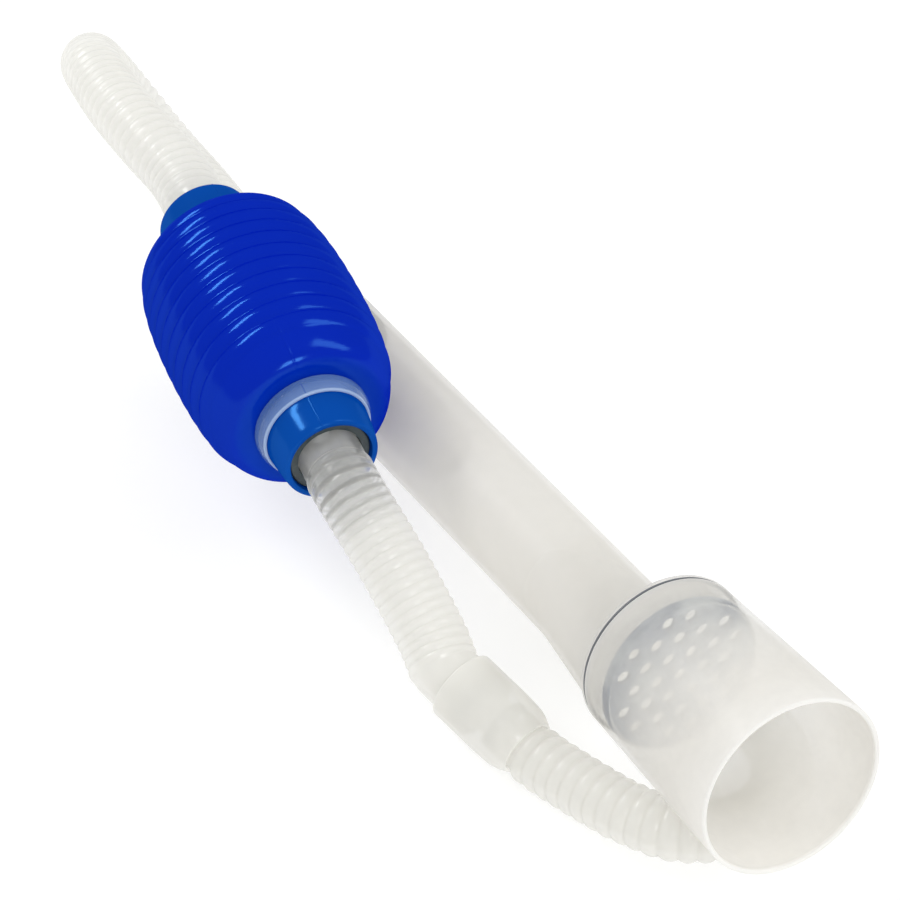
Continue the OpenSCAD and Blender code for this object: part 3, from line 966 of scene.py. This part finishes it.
@dataclass
class Plumbing:
    """The hoses and the cuffs on them."""

    hose_r: float = 10.0
    plain_r: float = 9.3
    groove: float = 0.85
    inlet_groove: float = 0.65
    stub_groove: float = 0.5
    bore_r: float = 7.2
    outlet_plain_r: float = 7.4
    outlet_bore_r: float = 6.0
    cuff_r: float = 10.7
    cuff_len: float = 27.0

    def build(self) -> None:
        tree = rib_tree()
        inlet = inlet_route()
        hose = RibbedHose(
            "inlet_hose_tube",
            [
                Stretch(
                    inlet, 90, self.hose_r, self.inlet_groove, self.plain_r, self.bore_r, 10, 16,
                    vec(1, 0, 0),
                )
            ],
            ("inlet_hose",),
            tree,
        ).build()
        stub, outlet = Route(stub_points()), Route(outlet_points())
        line = RibbedHose(
            "outlet_hose_tube",
            [
                Stretch(
                    stub, 22, self.hose_r, self.stub_groove, self.plain_r, self.bore_r, 16, 17,
                    vec(0, 0, 1), 31.0,
                ),
                Stretch(
                    outlet, 40, LAYOUT.outlet_r, self.groove, self.outlet_plain_r,
                    self.outlet_bore_r, 11.5, 11.5, vec(0, 0, 1),
                ),
            ],
            ("stub_hose", "outlet_hose"),
            tree,
        ).build()
        cuff = self.joining_cuff()
        end = Surface.CUFF.dress(bpy.data.objects["outlet_end_cuff"])

    def joining_cuff(self) -> Piece:
        """Smooth sleeve with rounded rims between the two outlet hoses."""
        r, n = self.cuff_r, self.cuff_len
        outline = [
            (9.6, 0), (r, 0), (r, n * 0.6), (r - 0.4, n - 4), (r - 2.2, n), (7.7, n),
            (7.7, n - 10.05), (6.0, n - 10.05), (6.0, 10.05), (9.6, 10.05),
        ]
        radii = [0.3, 0.8, 3, 3, 1.2, 0.3, 0, 0.2, 0.2, 0]
        shape = rounded(outline, radii)
        axis = Axis(LAYOUT.cuff_at * MM, LAYOUT.cuff_dir)
        cuff = axis.turn("joining_cuff_sleeve", shape)
        Surface.CUFF.dress(cuff)
        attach(cuff, "base")
        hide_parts("joining_cuff")
        return cuff


# squeeze bulb
@dataclass
class SqueezeBulb:
    """The bulb with its necks and collars; sizes in millimetres."""

    wall: float = 2.2
    ribs: int = 11
    rib_start: float = 26.8
    rib_stop: float = 20.3
    neck_r: float = 15.3
    bore_r: float = 12.2
    neck_len: float = 17.5
    shoulder_r: float = 17.2
    pocket: float = 18.5
    ledge_t: float = 1.2
    collar_r: float = 17.2
    collar_len: float = 5.8
    seam_at: float = math.radians(-11.5)
    seam_w: float = math.radians(0.7)
    seam_h: tuple[float, float] = (0.14, 0.1)
    swell: tuple[float, float] = (2.2, 0.26)
    crowd: float = 2.8
    rib_round: float = 0.85
    axis: Axis = field(default_factory=LAYOUT.bulb_axis)

    def body_r(self, u: Array) -> Array:
        """Radius of the body without its ribs, u millimetres from the near lip."""
        half = LAYOUT.bulb_len / 2
        x = np.minimum(1, np.abs(u - half) / (half - self.neck_len))
        bend, flat = self.swell
        return self.shoulder_r + (LAYOUT.bulb_r - self.shoulder_r) * (1 - x**bend) ** flat

    def skin(self) -> Outline:
        """Outer outline of the ribbed body, (radius, place)."""
        n, full = self.neck_len, LAYOUT.bulb_len
        a, b = self.rib_start, full - self.rib_stop
        pitch = (b - a) / self.ribs
        front = n + (a - n) * np.linspace(0, 1, 28)[:-1] ** self.crowd
        ribs = np.linspace(a, b, self.ribs * 14 + 1)
        back = full - n - (full - n - b) * np.linspace(1, 0, 16)[1:] ** self.crowd
        u = np.concatenate([front, ribs, back])
        f = np.mod((u - a) / pitch, 1)
        rib = LAYOUT.rib_h * np.sin(math.pi * f) ** self.rib_round
        rib[(u <= a) | (u >= b)] = 0
        return list(zip(self.body_r(u) + rib, u))

    def angles(self) -> Array:
        """Even angles, closer together at the two mould seams."""
        near = np.radians([-1.6, -1.1, -0.7, -0.35, 0, 0.35, 0.7, 1.1, 1.6])
        seams = np.concatenate([near + self.seam_at, near + self.seam_at + math.pi])
        both = np.concatenate([around(120), np.mod(seams, 2 * math.pi)])
        return np.unique(np.round(both, 5))

    def seam(self, angle: Array, place: Array) -> Array:
        """Height of the thin mould seam, lower on the ribs, in metres."""
        off = np.abs(np.mod(angle - self.seam_at + math.pi / 2, math.pi) - math.pi / 2)
        ribbed = np.clip((place / MM - self.rib_start) / 4, 0, 1)
        height, less = (h * MM for h in self.seam_h)
        return (height - less * ribbed) * np.exp(-((off / self.seam_w) ** 2))

    def thin(self, piece: Piece) -> None:
        """Store how pale the plastic is, from 0 on the body to 1 at the lips."""
        u = self.axis.places(piece)
        away = np.minimum(u, LAYOUT.bulb_len - u)
        store(piece, "thin", np.clip((self.neck_len + 1 - away) / 4, 0, 1))

    def body(self) -> Piece:
        """Ribbed hollow body of the bulb."""
        full, inner = LAYOUT.bulb_len, self.pocket + self.ledge_t
        skin = self.skin()
        u = np.linspace(full - inner, inner, 40)
        wall = list(zip(self.body_r(u) - self.wall, u))
        core = self.neck_r - 0.4
        ends = [(core, full - self.neck_len), (core, full - inner)]
        heads = [(core, inner), (core, self.neck_len)]
        outline = [(r * MM, p * MM) for r, p in [*skin, *ends, *wall, *heads]]
        piece = self.axis.turn("bulb_body", outline, self.angles(), self.seam)
        self.thin(piece)
        Surface.BULB.dress(piece)
        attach(piece, "base")
        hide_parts("squeeze_bulb")
        mid = self.axis.at(full * MM / 2)
        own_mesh(piece)
        LOG.info("bulb_body: %d faces", len(piece.data.polygons))
        return piece

    def neck(self, name: str, axis: Axis) -> Piece:
        """One neck with its rolled lip and the ledge inside it."""
        r, b, inner = self.neck_r, self.bore_r, self.pocket + self.ledge_t
        outline = [
            (b, 0.0), (r - 1.4, 0.0), (r - 1.0, 1.8), (r, 10.5), (r, self.neck_len),
            (r - 0.5, self.neck_len + 0.3), (r - 0.5, inner),
            (b - 1.2, inner), (b - 1.2, self.pocket), (b, self.pocket),
        ]
        radii = [0.5, 1.1, 1.2, 2.0, 0.2, 0.2, 0.1, 0.1, 0.1, 0.1]
        shape = rounded(outline, radii, 6)
        piece = axis.turn(name, shape, self.angles(), self.seam)
        self.thin(piece)
        Surface.BULB.dress(piece)
        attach(piece, "base")
        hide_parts("squeeze_bulb")
        return piece

    def collar(self, name: str, node: str, axis: Axis) -> Piece:
        """Clear ring round a neck, with a bevelled front and a painted highlight along its front
        rim.
        """
        z1 = self.neck_len - 0.05
        z0 = z1 - self.collar_len
        r, b = self.collar_r, self.neck_r + 0.05
        outline = [
            (b, z0), (b + 0.7, z0), (b + 0.9, z0 + 0.7), (r, z0 + 3.0), (r, z1), (b, z1),
        ]
        radii = [0.15, 0.3, 0.3, 1.2, 0.5, 0.1]
        shape = rounded(outline, radii)
        piece = axis.turn(name, shape)
        u = axis.places(piece)
        # Painted highlight on the front rim, read by the collar finish.
        store(piece, "edge", np.clip((z0 + 0.75 - u) / 0.4, 0, 0.6))
        Surface.COLLAR.dress(piece)
        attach(piece, "base")
        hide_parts(node)
        return piece

    def build(self) -> None:
        """Make the body, both necks and both collars."""
        far = self.axis.flipped(LAYOUT.bulb_len * MM)
        self.body()
        self.neck("near_neck", self.axis)
        self.neck("far_neck", far)
        self.collar("near_collar_ring", "near_collar", self.axis)
        self.collar("far_collar_ring", "far_collar", far)


# gravel barrel
@dataclass
class GravelBarrel:
    """The wide barrel with its rolled lip and the ledge inside; sizes in millimetres."""

    wall: float = 1.2
    rim_w: float = 1.4
    ledge_w: float = 1.0
    seat: float = 55.2
    lip: float = 0.65
    rows: tuple[int, ...] = (15, 21, 27, 32, 37, 42, 47)
    last_rows: tuple[int, ...] = (51, 55, 58, 61)
    show: float = 0.5
    show_front: float = 12.0
    show_back: float = 5.0
    veil: float = 0.85
    veil_from: float = 14.0
    veil_over: float = 30.0

    def build(self) -> None:
        """Turn the barrel, paint bright highlights on its two rims, mark where the strainer
        shows, and dress it.
        """
        r, e, n = LAYOUT.mouth_r, LAYOUT.barrel_r, LAYOUT.barrel_len
        taper = (r - e) / n
        inner, foot = e - self.wall, self.seat - 2.5
        outer_rows = [(r - taper * q, q) for q in self.rows + self.last_rows]
        inner_rows = [(r - self.wall - taper * q, q) for q in reversed(self.rows)]
        outline = [
            (r - self.rim_w, 0), (r, 0), *outer_rows, (e, n), (inner, n), (inner, self.seat),
            (inner - self.ledge_w, self.seat), (inner - self.ledge_w, self.seat - 1),
            (r - self.wall - taper * foot, foot), *inner_rows,
            (r - self.wall - taper * 3, 3), (r - self.rim_w, 1.8),
        ]
        radii = [
            self.lip, self.lip, *[0] * len(outer_rows), 0.3, 0.2, 0, 0.2, 0.2, 1,
            *[0] * len(inner_rows), 0.8, 0.4,
        ]
        shape = rounded(outline, radii, 6)
        axis = LAYOUT.tube_axis()
        piece = axis.turn("barrel_shell", shape, around(144))
        u = axis.places(piece)
        # Painted highlight on both rims, read by the tube finish.
        store(piece, "edge", np.clip(np.maximum(0.9 - u, u - n + 0.5) / 0.5, 0, 1))
        before = self.seat - u
        fall = np.where(before > 0, self.show_front, self.show_back)
        shown = self.show * np.exp(-((before / fall) ** 2))
        veiled = self.veil * np.clip((before - self.veil_from) / self.veil_over, 0, 1)
        store(piece, "clear", shown - veiled)
        Surface.TUBE.dress(piece)
        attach(piece, "barrel")
        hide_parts("gravel_barrel")
        LOG.info("barrel_shell: %d faces", len(piece.data.polygons))


# solids that stay
@dataclass
class Fittings:
    """The solids whose shape is right, which only get their finish."""

    finishes: tuple[tuple[Surface, tuple[str, ...]], ...] = (
        (Surface.TUBE, ("riser_tube",)),
        (Surface.GASKET, ("seam_gasket",)),
        (Surface.SEAL, ("hose_bushing", "near_seal", "far_seal")),
        (Surface.FLAP, ("near_valve_disc", "far_valve_disc")),
        (Surface.VALVE, ("near_valve_seat", "near_valve_pin", "far_valve_seat", "far_valve_pin")),
        (Surface.STRAINER, ("strainer_disc",)),
    )

    def build(self) -> None:
        """Dress each solid in its finish."""
        for surface, names in self.finishes:
            for name in names:
                surface.dress(bpy.data.objects[name])
                LOG.info("%s: %s", name, surface.name)


# studio
@dataclass
class Studio:
    """Camera, floor and soft light."""

    focal_px: float = 4000.0
    frame_px: float = 900.0
    elevation: float = 39.3
    yaw: float = 28.5
    camera_at: tuple[float, float, float] = (-0.40985, -0.75166, 0.7645)
    sensor_mm: float = 36.0
    world_power: float = 0.6
    floor_glow: float = 0.66
    floor_half: float = 4.0

    def camera(self) -> None:
        """Camera at the photograph's angle."""
        data = bpy.data.cameras.new("camera")
        data.sensor_fit = "HORIZONTAL"
        data.sensor_width = self.sensor_mm
        data.lens = self.sensor_mm * self.focal_px / self.frame_px
        data.clip_start, data.clip_end = 0.01, 50.0
        data.dof.use_dof = False
        made = bpy.data.objects.new("camera", data)
        made.location = self.camera_at
        made.rotation_euler = (
            math.radians(90 - self.elevation), 0.0, math.radians(-self.yaw),
        )
        bpy.context.scene.collection.objects.link(made)
        bpy.context.scene.camera = made

    def lamp(
        self, name: str, at: Array, to: Array, size: tuple[float, float], power: float
    ) -> None:
        """Add a soft rectangular light.

        Args:
            name: its name.
            at: where it stands, in metres.
            to: the point that it faces.
            size: its width and height, in metres.
            power: its power in watts.
        """
        data = bpy.data.lights.new(name, "AREA")
        data.shape = "RECTANGLE"
        data.size, data.size_y = size
        data.energy = power
        made = bpy.data.objects.new(name, data)
        made.location = at
        made.rotation_euler = Vector(to - at).to_track_quat("-Z", "Y").to_euler()
        bpy.context.scene.collection.objects.link(made)

    def build(self) -> None:
        """Light the scene and lay the floor."""
        scene = bpy.context.scene
        scene.view_settings.view_transform = "Standard"
        world = bpy.data.worlds.new("studio")
        scene.world = world
        world.use_nodes = True
        tone = {"Color": rgb(0.97, 0.98, 1.0), "Strength": self.world_power}
        Graph(world.node_tree).fill(world.node_tree.nodes["Background"], tone)
        mid = vec(0, 0.05, 0.03)
        self.lamp("back_strip", vec(-0.53, 1.0, 0.95), mid, (0.7, 0.25), 7.5)
        self.lamp("right_strip", vec(0.8, -0.35, 1.0), mid, (0.4, 1.0), 4.5)
        self.lamp("front_fill", vec(-0.25, -1.5, 0.9), mid, (0.6, 0.6), 10.0)
        corners = self.floor_half * vec(-1, -1, 0, 1, -1, 0, 1, 1, 0, -1, 1, 0)
        floor = piece_of("floor", corners.reshape(4, 3), [(0, 1, 2, 3)])
        pale = bpy.data.materials.new("pale_floor")
        pale.use_nodes = True
        tone = {
            "Base Color": rgb(0.38, 0.38, 0.37),
            "Roughness": 0.7,
            "Emission Color": rgb(1.0, 1.0, 1.0),
            "Emission Strength": self.floor_glow,
        }
        Graph(pale.node_tree).fill(pale.node_tree.nodes["Principled BSDF"], tone)
        floor.data.materials.append(pale)


def main() -> None:
    """Build the camera and hoses first, then the rest of the siphon."""
    logging.basicConfig(level=logging.INFO)
    studio = Studio()
    studio.camera()
    for part in (Plumbing(), SqueezeBulb(), GravelBarrel(), Fittings(), studio):
        part.build()
        LOG.info("built %s", type(part).__name__)


if __name__ == "__main__":
    main()
